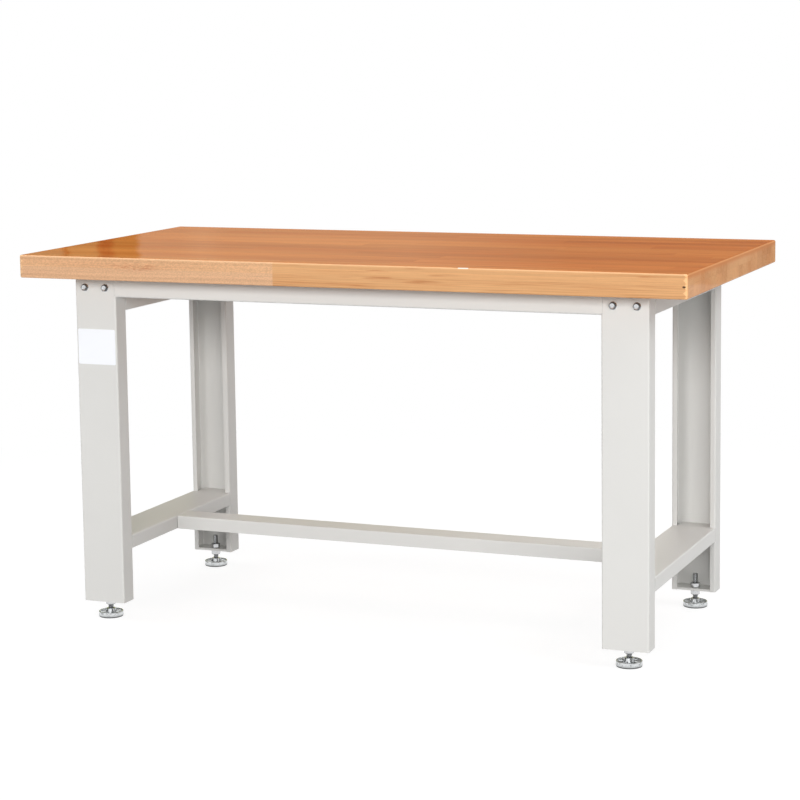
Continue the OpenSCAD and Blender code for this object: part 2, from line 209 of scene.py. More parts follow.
def even_angles(columns):
    """Angles of even steps once round the axis."""
    return np.arange(columns) * TAU / columns


def spread(values, columns):
    """A grid that holds each row's value once for each of the columns listed."""
    return np.repeat(np.asarray(values)[:, None], len(columns), 1)


def ring_points(radius, height, angle):
    """Points at a radius, a height and an angle round the upright axis."""
    return np.stack([radius * np.cos(angle), radius * np.sin(angle), height], -1).reshape(-1, 3)


def grid_faces(rows, columns, wrap_rows=False):
    """Quads of a grid whose columns close on themselves, with the rows closed too where wrap_rows is true."""
    r = np.arange(rows if wrap_rows else rows - 1)[:, None]
    c = np.arange(columns)[None, :]
    r2, c2 = (r + 1) % rows, (c + 1) % columns
    return np.stack([r * columns + c, r * columns + c2, r2 * columns + c2, r2 * columns + c], -1).reshape(-1, 4)


def turned_solid(radius, height, angle, painted_shade=0.0):
    """A closed solid round an upright axis: row by row radius and height at each angle, the first and last rows
    closed by a fan to their middle on the axis. radius and height are (rows, columns), and the painted shade at
    each point fits them."""
    rows, columns = radius.shape
    ring = ring_points(radius, height, angle)
    ends = np.array([[0, 0, height[0].mean()], [0, 0, height[-1].mean()]])
    shade_and_tarnish = np.broadcast_to(painted_shade, radius.shape)
    shade_and_tarnish = np.concatenate([shade_and_tarnish.ravel(), [shade_and_tarnish[0].mean(), shade_and_tarnish[-1].mean()]])
    c = np.arange(columns)
    c2 = (c + 1) % columns
    first, last = rows * columns, rows * columns + 1
    low_fan = np.stack([np.full(columns, first), c2, c], -1)
    top = (rows - 1) * columns
    high_fan = np.stack([np.full(columns, last), top + c, top + c2], -1)
    return Solid(np.concatenate([ring, ends]), [grid_faces(rows, columns), low_fan, high_fan], shade_and_tarnish)


def copies(solid, places):
    """The same solid at each 4 by 4 placing matrix, as one solid."""
    points = [solid.points @ place[:3, :3].T + place[:3, 3] for place in places]
    faces = [block + k * len(solid.points) for k in range(len(places)) for block in solid.faces]
    return Solid(np.concatenate(points), faces, np.tile(solid.painted_shade, len(places)))


def placed(origin, axis):
    """Placing matrix that puts the solid's z along a level axis and its x upwards, at the origin given."""
    z, x = np.array(axis, float), np.array((0, 0, 1), float)
    m = np.eye(4)
    m[:3, 0], m[:3, 1], m[:3, 2], m[:3, 3] = x, np.cross(z, x), z, origin
    return m


def add_object(name, data):
    """A new object in the scene."""
    new = bpy.data.objects.new(name, data)
    bpy.context.scene.collection.objects.link(new)
    return new


def make_piece(name, solid, material, body, nodes, flat_angle=35.0):
    """Makes a mesh of a solid at the origin, gives it its finish, and lets it ride and stand for its nodes."""
    mesh = bpy.data.meshes.new(name)
    mesh.from_pydata(solid.points.tolist(), [], [f for block in solid.faces for f in block.tolist()])
    mesh.update()
    mesh.attributes.new("painted_shade", "FLOAT", "POINT").data.foreach_set("value", solid.painted_shade.astype(np.float32))
    mesh.shade_smooth()
    mesh.set_sharp_from_angle(angle=math.radians(flat_angle))
    mesh.materials.append(material)
    piece = add_object(name, mesh)
    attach(piece, body)
    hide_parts(*nodes)


def make_upright(name, solid, material, body, node, flat_angle=35.0):
    """Makes a piece round the upright axis of the node that it stands for."""
    solid = solid._replace(points=solid.points + (*middle(node)[:2], 0))
    make_piece(name, solid, material, body, [node], flat_angle)


def smooth_step(value, low, high):
    """0 below low, 1 above high, and an S curve between them."""
    t = np.clip((value - low) / (high - low), 0, 1)
    return t * t * (3 - 2 * t)


def hexagon_radius(angle, across_flats, sharpness=46.0):
    """Distance from the axis to a hexagon with slightly rounded corners: the flats' half width over the
    high-power mean of the cosines to the six flats."""
    facing = [np.clip(np.cos(angle - k * TAU / 6), 0, 1) ** sharpness for k in range(6)]
    return across_flats / 2 / np.sum(facing, axis=0) ** (1 / sharpness)


def thread_depth(angle, height, pitch):
    """How deep a metric thread is cut at each angle and height: a triangle wave along the helix, flattened to an
    eighth of the pitch at the crest and a quarter at the root."""
    wave = np.abs(2 * np.mod(height / pitch - angle / TAU, 1) - 1)
    return 0.613 * pitch * np.clip((wave - 0.125) / 0.625, 0, 1)


# Material helpers

class Finish:
    """A new material or world whose nodes are added one call at a time. Inputs are sockets or plain values."""

    def __init__(self, name, kind="materials"):
        self.owner = getattr(bpy.data, kind).new(name)
        self.owner.use_nodes = True
        self.tree = self.owner.node_tree
        self.tree.nodes.clear()
        if kind == "materials":
            self.place = self.add("TexCoord").outputs["Object"]

    def add(self, kind, values=None, **settings):
        """Adds a shader node, sets its properties, and sets or links its inputs by name or number."""
        node = self.tree.nodes.new(f"ShaderNode{kind}")
        for key, value in settings.items():
            setattr(node, key, value)
        for key, value in (values or {}).items():
            if isinstance(value, NodeSocket):
                self.tree.links.new(value, node.inputs[key])
            else:
                node.inputs[key].default_value = value
        return node

    def math(self, operation, a, b=0.0, c=0.0, clamp=False):
        """One Math node."""
        return self.add("Math", {0: a, 1: b, 2: c}, operation=operation, use_clamp=clamp).outputs[0]

    def plus(self, a, b):
        """The sum of two numbers."""
        return self.math("ADD", a, b)

    def minus(self, a, b):
        """The first number less the second."""
        return self.math("SUBTRACT", a, b)

    def times(self, a, b):
        """The product of two numbers."""
        return self.math("MULTIPLY", a, b)

    def below(self, a, b):
        """1 where the first number is less than the second, and 0 elsewhere."""
        return self.math("LESS_THAN", a, b)

    def apart(self, a, b):
        """How far two numbers are apart."""
        return self.math("ABSOLUTE", self.minus(a, b))

    def line(self, value, slope, start):
        """The value times a slope, plus a start."""
        return self.math("MULTIPLY_ADD", value, slope, start)

    def scaled(self, vector, scale):
        """The vector with each axis multiplied by its own scale."""
        return self.add("VectorMath", {0: vector, 1: scale}, operation="MULTIPLY").outputs[0]

    def moved(self, vector, offset):
        """The vector with another one added."""
        return self.add("VectorMath", {0: vector, 1: offset}, operation="ADD").outputs[0]

    def length(self, vector):
        """The length of a vector."""
        return self.add("VectorMath", {0: vector}, operation="LENGTH").outputs["Value"]

    def split(self, vector):
        """The three components of a vector."""
        return self.add("SeparateXYZ", {0: vector}).outputs

    def joined(self, x, y, z):
        """A vector from three components."""
        return self.add("CombineXYZ", {0: x, 1: y, 2: z}).outputs[0]

    def noise(self, vector, scale, detail=2.0, roughness=0.5):
        """Smooth noise from 0 to 1."""
        values = {"Vector": vector, "Scale": scale, "Detail": detail, "Roughness": roughness}
        return self.add("TexNoise", values).outputs[0]

    def chance(self, vector):
        """Three even random numbers for each whole-number vector."""
        return self.split(self.add("TexWhiteNoise", {"Vector": vector}).outputs["Color"])

    def painted_shade(self):
        """How much painted shade the mesh has at this point."""
        return self.add("Attribute", attribute_name="painted_shade").outputs["Fac"]

    def span(self, value, low, high, to_low=0.0, to_high=1.0, smooth=True):
        """The value's range low to high carried to another range, and held at its ends."""
        return self.add("MapRange", {0: value, 1: low, 2: high, 3: to_low, 4: to_high},
                        interpolation_type="SMOOTHSTEP" if smooth else "LINEAR").outputs[0]

    def mixed(self, share, a, b, blend="MIX"):
        """Two colours mixed or blended."""
        node = self.add("Mix", data_type="RGBA", blend_type=blend)
        for socket, value in ((node.inputs[0], share), (node.inputs[6], a), (node.inputs[7], b)):
            if isinstance(value, NodeSocket):
                self.tree.links.new(value, socket)
            else:
                socket.default_value = value if isinstance(value, float) else (*value[:3], 1.0)
        return node.outputs[2]

    def chosen(self, share, low, high):
        """A number that goes from low to high with the share."""
        return self.add("Mix", {0: share, 2: low, 3: high}).outputs[0]

    def bump(self, height, distance, strength=1.0, normal=None):
        """A bump from a height that runs from 0 to 1, as deep as the distance."""
        values = {"Height": height, "Distance": distance, "Strength": strength}
        if normal is not None:
            values["Normal"] = normal
        return self.add("Bump", values).outputs[0]

    def surface(self, **values):
        """The shader that ends the finish. Underscores stand for the spaces of its input names."""
        shader = self.add("BsdfPrincipled", {k.replace("_", " "): v for k, v in values.items()})
        self.add("OutputMaterial", {"Surface": shader.outputs[0]})
        return self.owner


# Finishes

def lacquered_beech(settings):
    """Glued beech: rows of staves in two layers, each stave with its own tone, growth rings about its own pith,
    streaks along its length, short dark flecks and a clear amber lacquer. The ends of the front stave are
    finger-jointed."""
    f = Finish("lacquered_beech")
    low, high = low_corner("worktop"), high_corner("worktop")
    width = (high[1] - low[1]) / settings.staves
    joint_x, glint_x, rust_x, knot_z = -0.138, 0.286, -0.468, 0.0245
    x, y, z = f.split(f.place)

    # Row and layer of the stave, then its place along the row
    row_place = f.math("DIVIDE", f.minus(y, low[1]), width)
    row = f.math("FLOOR", row_place)
    layer = f.math("GREATER_THAN", z, low[2] + settings.layer_split)
    front = f.below(row, 0.5)
    row_chance = f.chance(f.joined(row, layer, 3.0))
    length = f.line(row_chance[0], settings.stave_length * 0.7, settings.stave_length * 0.65)
    length = f.chosen(front, length, f.line(layer, 0.9, 0.93))
    shift = f.chosen(front, f.times(row_chance[1], 4.0), f.line(layer, 0.9, -joint_x))
    along = f.math("DIVIDE", f.plus(x, shift), length)
    piece = f.math("FLOOR", along)
    stave = f.chance(f.joined(row, piece, layer))
    other = f.chance(f.joined(piece, row, f.plus(layer, 9.0)))

    # Growth rings round a pith below or beside the stave
    centre_y = f.line(f.plus(row, 0.5), width, low[1])
    from_y = f.minus(f.minus(y, centre_y), f.times(f.minus(stave[0], 0.5), 0.16))
    from_z = f.minus(f.minus(z, low[2]), f.line(stave[1], 0.14, -0.11))
    from_pith = f.length(f.joined(0.0, from_y, from_z))
    own_drift = f.joined(stave[2], stave[0], stave[1])
    drift = f.noise(f.moved(f.scaled(f.place, (1.1, 5.0, 5.0)), own_drift), 2.0, 3.0, 0.45)
    ring_place = f.plus(f.line(drift, 0.020, from_pith), f.times(other[0], 5.0))
    rings = f.noise(f.joined(f.times(ring_place, 300.0), f.times(other[1], 40.0), 0.0), 1.0, 2.0, 0.65)
    late_wood = f.span(rings, 0.40, 0.68)

    # Streaks, fibres and flecks along the stave, and tones that run across several staves
    own = f.moved(f.place, f.joined(other[0], other[1], other[2]))
    streak = f.noise(f.scaled(own, (1.0, 30.0, 30.0)), 3.0, 4.0, 0.55)
    fibre = f.noise(f.scaled(own, (12.0, 420.0, 420.0)), 2.0, 3.0, 0.6)
    fleck = f.span(f.noise(f.scaled(own, (110.0, 620.0, 620.0)), 2.0, 1.0, 0.4), 0.62, 0.74)
    mineral = f.span(f.noise(f.scaled(own, (7.0, 110.0, 110.0)), 1.0), 0.60, 0.74)
    swath = f.noise(f.scaled(f.place, (0.9, 6.0, 6.0)), 1.0, 3.0)

    # Colour of the bare wood
    share = f.plus(f.times(stave[2], 0.34), f.times(late_wood, 0.18))
    share = f.plus(share, f.times(f.span(streak, 0.38, 0.66), 0.26))
    share = f.plus(share, f.span(swath, 0.36, 0.64, -0.24, 0.40))
    lines = f.span(f.noise(f.scaled(own, (5.0, 40.0, 330.0)), 1.0, 3.0, 0.6), 0.46, 0.64, -0.24, 0.22)
    share = f.math("MULTIPLY_ADD", front, lines, share, clamp=True)
    wood = f.mixed(share, settings.pale, settings.deep)
    wood = f.mixed(f.times(mineral, 0.55), wood, (0.56, 0.20, 0.07))
    pale_end = f.times(front, f.below(x, joint_x))
    wood = f.mixed(f.times(pale_end, f.chosen(layer, 0.75, 0.50)), wood, (0.93, 0.57, 0.345))
    speck = f.span(f.noise(f.scaled(own, (250.0, 420.0, 420.0)), 1.0, 1.0), 0.40, 0.60, 0.07, -0.08)
    value = f.line(stave[1], 0.14, 0.93)
    for factor in (f.span(fibre, 0.30, 0.70, 1.035, 0.955),
                   f.line(late_wood, f.chosen(front, -0.02, -0.12), 1.02),
                   f.line(fleck, f.chosen(pale_end, -0.08, -0.17), 1.0),
                   f.line(pale_end, speck, 1.0)):
        value = f.times(value, factor)

    # Thin glue lines between rows, layers and stave ends
    in_row = f.times(f.math("PINGPONG", row_place, 0.5), width)
    in_length = f.times(f.math("PINGPONG", along, 0.5), length)
    in_layer = f.apart(z, low[2] + settings.layer_split)
    nearest = f.math("MINIMUM", f.math("MINIMUM", in_row, in_length), in_layer)
    value = f.times(value, f.span(nearest, 0.0, 0.0005, 0.86, 1.0))

    # Distances to the faces, then the end grain, which drinks more lacquer
    in_x = f.minus(high[0], f.math("ABSOLUTE", x))
    in_y = f.minus(high[1], f.math("ABSOLUTE", y))
    in_z = f.minus(high[2], z)
    end_grain = f.span(in_x, 0.001, 0.004, 1.0, 0.0)
    pores = f.noise(f.scaled(own, (60.0, 700.0, 700.0)), 1.0, 2.0, 0.7)
    value = f.times(value, f.chosen(end_grain, 1.0, f.span(pores, 0.3, 0.7, 0.93, 0.70)))
    wood = f.mixed(1.0, wood, f.joined(value, value, value), "MULTIPLY")
    block = f.chance(f.joined(f.math("FLOOR", f.times(row_place, 0.43)), layer, 21.0))
    wood = f.mixed(f.times(end_grain, f.times(block[0], 0.45)), wood, (0.90, 0.52, 0.26))
    end_tone = f.times(end_grain, f.span(in_z, 0.004, 0.015, 0.85, 0.22))
    wood = f.mixed(end_tone, wood, (0.66, 0.24, 0.075))

    # Amber lacquer on the top, a pale painted highlight along the arrises, and paler wood on the fingers at the
    # ends of the front stave
    wood = f.mixed(f.span(in_z, 0.0002, 0.0010, 1.0, 0.0), wood, f.mixed(1.0, wood, settings.amber, "MULTIPLY"))
    upright = f.math("MAXIMUM", in_x, in_y)
    level = f.math("MAXIMUM", in_z, f.math("MINIMUM", in_x, in_y))
    arris = f.span(f.math("MINIMUM", upright, level), 0.0020, 0.0042, 1.0, 0.0)
    arris = f.times(arris, f.span(in_z, 0.0001, 0.0006))
    # Painted highlight: paler on the upright corners than along the level arrises
    arris_highlight = f.mixed(f.below(in_x, 0.0042), (0.98, 0.66, 0.38), (0.90, 0.46, 0.19))
    wood = f.mixed(f.times(arris, 0.36), wood, arris_highlight)
    teeth = f.line(f.math("PINGPONG", f.minus(z, low[2]), 0.0062), -1.15, 0.0090)
    finger = f.times(f.below(f.minus(y, low[1]), 0.0030), f.below(in_x, teeth))
    wood = f.mixed(f.times(finger, 0.55), wood, (1.0, 0.64, 0.33))

    # Painted glint on the front arris, dark knot at the front right corner, rust flecks at the left
    arris_glint = f.below(f.apart(x, glint_x), 0.011)
    arris_glint = f.times(arris_glint, f.below(f.apart(in_z, 0.0012), 0.0011))
    arris_glint = f.times(arris_glint, f.below(y, 0.0))
    wood = f.mixed(f.times(arris_glint, 0.85), wood, (0.97, 0.90, 0.80))
    from_knot = f.moved(f.place, (0.007 - high[0], -low[1], -knot_z - low[2]))
    knot = f.length(f.scaled(from_knot, (0.6, 0.15, 1.0)))
    wood = f.mixed(f.span(knot, 0.0015, 0.0026, 0.95, 0.0), wood, (0.06, 0.025, 0.012))
    from_rust = f.moved(f.place, (-rust_x, -low[1], 0.019 - high[2]))
    rust = f.length(f.scaled(from_rust, (1.0, 1.2, 7.0)))
    marks = f.span(f.noise(f.scaled(f.place, (75.0, 75.0, 520.0)), 1.0, 2.0, 0.6), 0.50, 0.60, 0.0, 0.8)
    wood = f.mixed(f.times(f.span(rust, 0.03, 0.080, 1.0, 0.0), marks), wood, (0.52, 0.20, 0.09))

    # Lacquer that follows the wood a little
    swell = f.noise(f.scaled(f.place, (3.0, 14.0, 14.0)), 1.0)
    normal = f.bump(fibre, 0.00005, 0.5, f.bump(swell, 0.0003, 0.5))
    lie = f.joined(f.line(other[2], 0.024, -0.012), 0.0, 0.0)
    leaning = f.moved(f.bump(swell, 0.0003, 0.5), lie)
    coat_normal = f.add("VectorMath", {0: leaning}, operation="NORMALIZE").outputs[0]
    return f.surface(
        Base_Color=wood, Roughness=f.span(fibre, 0.2, 0.8, 0.42, 0.52), Specular_IOR_Level=0.0,
        Coat_Weight=settings.gloss, Coat_Roughness=0.03, Coat_Normal=coat_normal, Normal=normal)


def powder_coat(settings):
    """Baked powder coat: a fine orange peel, a faint cloudiness and a satin sheen."""
    f = Finish("powder_coat")
    cloud = f.noise(f.place, 2.6, 3.0)
    peel = f.noise(f.place, 1.0 / settings.grain, 2.0, 0.55)
    colour = f.mixed(f.span(cloud, 0.35, 0.65), [c * 0.985 for c in settings.coating],
                     [min(1.0, c * 1.01) for c in settings.coating])
    return f.surface(Base_Color=colour, Roughness=f.span(peel, 0.3, 0.7, 0.36, 0.44), Specular_IOR_Level=0.45,
                     Normal=f.bump(peel, 0.00006, 0.35))


def bright_zinc(settings):
    """Zinc plating: bright metal with slightly uneven brightness and fine draw marks, with painted shade in its
    grooves and on its edges.
    """
    f = Finish("bright_zinc")
    patch = f.noise(f.place, 240.0, 3.0, 0.6)
    marks = f.noise(f.scaled(f.place, (900.0, 900.0, 3500.0)), 1.0)
    shade_and_tarnish = f.painted_shade()
    colour = f.mixed(f.span(patch, 0.3, 0.7), settings.zinc, [c * 0.90 for c in settings.zinc])
    # Painted shade: the mesh's shade attribute darkens the zinc towards near black and roughens it
    return f.surface(Base_Color=f.mixed(shade_and_tarnish, colour, (0.085, 0.087, 0.090)), Metallic=1.0,
                     Roughness=f.line(shade_and_tarnish, 0.2, f.span(patch, 0.3, 0.7, 0.12, 0.22)),
                     Normal=f.bump(marks, 0.00002, 0.3))


def plated_casting(settings):
    """Plated casting of the pads: soft grain of the mould under bright zinc, with painted shade in the pockets and
    random dark spots of tarnish.
    """
    f = Finish("plated_casting")
    grain = f.noise(f.place, 620.0, 3.0, 0.6)
    patch = f.noise(f.place, 90.0)
    spots = f.span(f.noise(f.place, 170.0, 1.0), 0.56, 0.66, 0.0, 0.45)
    # Painted shade from the mesh, together with random spots of tarnish
    shade_and_tarnish = f.math("MAXIMUM", f.painted_shade(), spots)
    colour = f.mixed(f.span(patch, 0.3, 0.7), settings.casting, [c * 0.88 for c in settings.casting])
    return f.surface(Base_Color=f.mixed(shade_and_tarnish, colour, (0.11, 0.115, 0.115)), Metallic=1.0,
                     Roughness=f.line(shade_and_tarnish, 0.2, f.span(grain, 0.3, 0.7, 0.12, 0.22)),
                     Normal=f.bump(grain, 0.00005, 0.4))


def sole_rubber(settings):
    """Matt black rubber with a faint bloom."""
    f = Finish("sole_rubber")
    bloom = f.noise(f.place, 130.0, 3.0, 0.6)
    colour = f.mixed(f.span(bloom, 0.4, 0.7), settings.sole, [c * 1.8 for c in settings.sole])
    return f.surface(Base_Color=colour, Roughness=f.span(bloom, 0.3, 0.7, 0.72, 0.88),
                     Normal=f.bump(f.noise(f.place, 1500.0, 2.0, 0.6), 0.00008, 0.5))


def label_film():
    """White satin film, very slightly uneven where it sticks to the coating."""
    f = Finish("label_film")
    ripple = f.noise(f.scaled(f.place, (1.0, 1.0, 1.6)), 55.0)
    colour = f.mixed(f.span(ripple, 0.3, 0.7), (0.79, 0.81, 0.86), (0.81, 0.83, 0.875))
    return f.surface(Base_Color=colour, Roughness=f.span(ripple, 0.3, 0.7, 0.30, 0.36),
                     Normal=f.bump(ripple, 0.00012, 0.3))


def assign(material, nodes):
    """Gives CAD nodes their finish by their material slots."""
    for name in nodes:
        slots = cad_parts[name].material_slots
        if not slots:
            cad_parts[name].data.materials.append(material)
        for slot in slots:
            slot.material = material


def finish_of(maker, *settings):
    """The finish that a function makes under its own name, made once."""
    return bpy.data.materials.get(maker.__name__) or maker(*settings)


# Shapes

def rounded_slab(low, high, plan_radius, edge_radius):
    """A slab as a closed turning about its middle. A row is a rectangle with round corners; the rows run from the
    underside over a quarter circle, up the side and over another one to the top. Each flat face starts with a
    narrow strip of its own, so that its shading stays flat."""
    strip = 0.5 * MM
    bend = np.linspace(0, math.pi / 2, 7)
    draw = np.concatenate([[edge_radius + strip], edge_radius * (1 - np.sin(bend)), [0.0]])
    rise = np.concatenate([[0.0], edge_radius * (1 - np.cos(bend)), [edge_radius + strip]])
    rows_in = np.concatenate([draw, draw[::-1]])
    rows_up = np.concatenate([rise, high[2] - low[2] - rise[::-1]])
    corner = np.linspace(0, math.pi / 2, 9)
    half = (high - low)[:2] / 2
    centres, rays = [], []
    for k, side in enumerate(((1, 1), (-1, 1), (-1, -1), (1, -1))):
        angle = np.concatenate([corner[:1], corner, corner[-1:]]) + k * math.pi / 2
        ray = np.stack([np.cos(angle), np.sin(angle)], -1)
        along = np.zeros_like(ray)
        along[0], along[-1] = (ray[0, 1], -ray[0, 0]), (-ray[-1, 1], ray[-1, 0])
        centres.append(np.array(side) * (half - plan_radius) + along * strip)
        rays.append(ray)
    centres, rays = np.concatenate(centres), np.concatenate(rays)
    flat = centres[None] + rays[None] * (plan_radius - rows_in)[:, None, None]
    rows, columns = flat.shape[:2]
    up = spread(rows_up, rays)[..., None]
    points = np.concatenate([flat, up], -1).reshape(-1, 3) + (*((low + high) / 2)[:2], low[2])
    bottom = np.arange(columns)[::-1][None]
    top = (np.arange(columns) + (rows - 1) * columns)[None]
    return Solid(points, [grid_faces(rows, columns), bottom, top], np.zeros(len(points)))


def bolt_solid(settings, thread_r, shank_l, across_flats, flange_r, head_h):
    """A flanged bolt, seat at z = 0 and shank downwards. Rows run up the shank, whose radius loses the thread's
    depth, then out over the flange's cone, up the hexagon, over its chamfer and into the dished head."""
    angle = even_angles(72)
    tip = 0.9 * MM
    shank = resampled(np.array([(thread_r - tip, -shank_l), (thread_r, tip - shank_l), (thread_r, -0.6 * MM)]),
                      settings.bolt_pitch / 9)
    shank_r, shank_z = spread(shank[:, 0], angle), spread(shank[:, 1], angle)
    cut = thread_depth(angle[None], shank_z, settings.bolt_pitch)
    cut *= smooth_step(shank_z, -shank_l + 0.2 * MM, -shank_l + 1.6 * MM) * 0.4 + 0.6
    shank_r = np.minimum(shank_r, thread_r - cut)
    cone_top = 2.1 * MM
    flange = softened([
        (thread_r, 0, 0), (flange_r - 0.1 * MM, 0, 0.1 * MM), (flange_r, 0.9 * MM, 0.35 * MM),
        (across_flats / 2 * 1.10, cone_top, 0)], 4)
    flange_rows = spread(flange[:, 0], angle)
    hexagon = hexagon_radius(angle, across_flats)[None]
    flange_rows[-1] = hexagon + 0.25 * MM
    side_z = np.concatenate([[cone_top + 0.25 * MM], np.linspace(cone_top + 0.6 * MM, head_h - 1.5 * MM, 3),
                             np.linspace(head_h - 1.2 * MM, head_h - 0.1 * MM, 9), [head_h]])
    chamfer_r = across_flats / 2 - 0.35 * MM
    cone = chamfer_r + (head_h - side_z) * CHAMFER_SLOPE
    side_r = np.minimum(hexagon, cone[:, None])
    side_r[0] = hexagon + 0.04 * MM
    dish_r = np.array([0.93, 0.82, 0.76, 0.70, 0.64, 0.58, 0.35, 0.12]) * chamfer_r
    dish_z = head_h - 0.75 * MM * smooth_step(-dish_r, -0.84 * chamfer_r, -0.58 * chamfer_r)
    radius = np.concatenate([shank_r, flange_rows, side_r, spread(dish_r, angle)])
    height = np.concatenate([shank_z, spread(np.concatenate([flange[:, 1], side_z, dish_z]), angle)])
    # Painted shade: dark in the thread's grooves, dark on the hexagon's sides and darkest over its top chamfer
    painted_shade = np.zeros_like(radius)
    painted_shade[:len(shank)] = cut / cut.max()
    painted_shade[len(shank) + len(flange) - 1:-len(dish_r)] = 0.8
    painted_shade[-len(dish_r) - 10:-len(dish_r) + 1] = 1.0
    return turned_solid(radius, height, angle, painted_shade)


def stud_solid(settings, thread_r, ball_r, top_z, neck_z, neck_r, ball_z):
    """A foot stud. Rows run up the ball, the fillet and the neck, then the thread, whose radius loses the
    thread's depth, and end in a chamfered tip."""
    angle = even_angles(40)
    meet = math.acos(neck_r / ball_r)
    ball = [(ball_r * math.cos(a), ball_z + ball_r * math.sin(a)) for a in np.linspace(-1.45, meet, 16)]
    neck = [(neck_r, ball_z + ball_r * math.sin(meet) + 0.4 * MM), (neck_r, neck_z - 0.8 * MM),
            (thread_r - 0.613 * settings.stud_pitch, neck_z)]
    tip = 1.3 * MM
    thread = [(thread_r, neck_z + 0.9 * MM), (thread_r, top_z - tip), (thread_r - tip, top_z)]
    thread = resampled(np.array(thread), settings.stud_pitch / 9)
    profile = np.concatenate([np.array(ball + neck), thread, [[0.4 * (thread_r - tip), top_z]]])
    radius, height = spread(profile[:, 0], angle), spread(profile[:, 1], angle)
    threaded = height > neck_z
    depth = thread_depth(angle[None], height, settings.stud_pitch)
    radius = np.where(threaded, np.minimum(radius, thread_r - depth), radius)
    # Painted shade in the thread's grooves, and a little on the ball and the neck
    return turned_solid(radius, height, angle, np.where(threaded, 0.55 * depth / depth.max(), 0.1))


def nut_solid(across_flats, bore_r, low_z, high_z):
    """A hexagon nut as a ring closed both ways: up the hexagon with a chamfer at each end, and down the bore with
    a countersink at each end."""
    angle = even_angles(72)
    size = high_z - low_z
    chamfer_r = across_flats / 2 - 0.2 * MM
    side = np.concatenate([np.linspace(0, 1.4 * MM, 8), [size / 2], size - np.linspace(1.4 * MM, 0, 8)])
    cone = chamfer_r + np.minimum(side, size - side) * CHAMFER_SLOPE
    outer = np.minimum(hexagon_radius(angle, across_flats)[None], cone[:, None])
    sink = 0.9 * MM
    inner = np.array([(chamfer_r * 0.92, size), (bore_r + sink, size), (bore_r, size - sink), (bore_r, sink),
                      (bore_r + sink, 0), (chamfer_r * 0.92, 0)])
    radius = np.concatenate([outer, spread(inner[:, 0], angle)])
    height = low_z + spread(np.concatenate([side, inner[:, 1]]), angle)
    points = ring_points(radius, height, angle)
    # Painted shade, darkest at the chamfered ends, and half shade in the bore
    shade_and_tarnish = np.concatenate([np.clip(1.3 - np.minimum(side, size - side) / (1.1 * MM), 0.1, 1), np.full(6, 0.5)])
    faces = [grid_faces(len(radius), len(angle), wrap_rows=True)]
    return Solid(points, faces, spread(shade_and_tarnish, angle).ravel())


def pad_solid(settings, base_z, rim_z, hub_z, pad_r, ball_z, cup_r):
    """A cast pad. Rows run from the ball's seat up over the hub, down its cone, across the ribbed pockets and
    over the rim to the underside. Columns follow the ribs' sides, so each rib keeps its width from hub to rim."""
    half_rib = settings.rib_width / 2
    sector = TAU / settings.ribs
    side = np.array([0, 0.55, 0.85, 1.12, 1.45, 1.9]) * half_rib
    lift = np.array([1, 1, 0.93, 0.5, 0.08, 0])
    floor_z, rib_z = base_z + 4.5 * MM, rim_z - 1.1 * MM
    hub_r, hub_foot_r, rim_in = 10 * MM, 13 * MM, pad_r - 3.4 * MM
    mouth = math.sqrt(cup_r ** 2 - (hub_z - ball_z) ** 2)
    seat = [(cup_r * math.cos(a), ball_z + cup_r * math.sin(a))
            for a in np.linspace(-1.5, math.asin((hub_z - ball_z) / cup_r), 14)[:-1]]
    over = softened([
        (mouth, hub_z - 0.2 * MM, 0), (mouth + 0.3 * MM, hub_z, 0.15 * MM), (hub_r, hub_z, 0.9 * MM),
        (hub_foot_r, floor_z, 1.6 * MM), (rim_in, floor_z, 1.0 * MM), (rim_in + 0.6 * MM, rim_z, 0.8 * MM),
        (pad_r - 0.25 * MM, rim_z, 1.1 * MM), (pad_r, base_z + 0.9 * MM, 0.5 * MM),
        (pad_r - 0.7 * MM, base_z, 0.3 * MM), (3 * MM, base_z, 0)], 5)
    profile = np.concatenate([np.array(seat), resampled(over, 1.6 * MM)])
    r = np.maximum(profile[:, 0], 0.2 * MM)[:, None]
    near_rib = np.minimum(side[None] / np.maximum(r, hub_r * 0.8), sector * 0.3)
    pocket = np.linspace(0.25, 1, 4)[None]
    to_middle = near_rib[:, -1:] + (sector / 2 - near_rib[:, -1:]) * pocket
    half = np.concatenate([near_rib, to_middle], 1)
    lifts = np.concatenate([lift, np.zeros(4)])
    one = np.concatenate([-half[:, :0:-1], half[:, :-1]], 1)
    one_lift = np.concatenate([lifts[:0:-1], lifts[:-1]])
    angle = np.concatenate([one + k * sector for k in range(settings.ribs)], 1)
    lift_all = np.tile(one_lift, settings.ribs)[None]
    zone = smooth_step(r, hub_r - 0.2 * MM, hub_r + 0.3 * MM)
    zone = zone * smooth_step(-r, -(rim_in + 0.7 * MM), -(rim_in + 0.1 * MM))
    up = profile[:, 1:]
    on_top = up > base_z + 2 * MM
    rib_up = floor_z + (rib_z - floor_z) * lift_all * zone
    height = np.where(on_top, np.maximum(up, rib_up), up)
    radius = np.repeat(r, angle.shape[1], 1)
    # Painted shade on the pockets' floors between the ribs, and darker at the foot of the rim
    pocket_shade = smooth_step(-height, -(floor_z + 2.6 * MM), -(floor_z + 0.6 * MM)) * zone * on_top
    foot_edge = smooth_step(-height, -(base_z + 1.6 * MM), -(base_z + 0.6 * MM)) * (r > rim_in)
    solid = turned_solid(radius, height, angle, np.maximum(pocket_shade, foot_edge))
    return solid._replace(faces=[block[:, ::-1] for block in solid.faces])


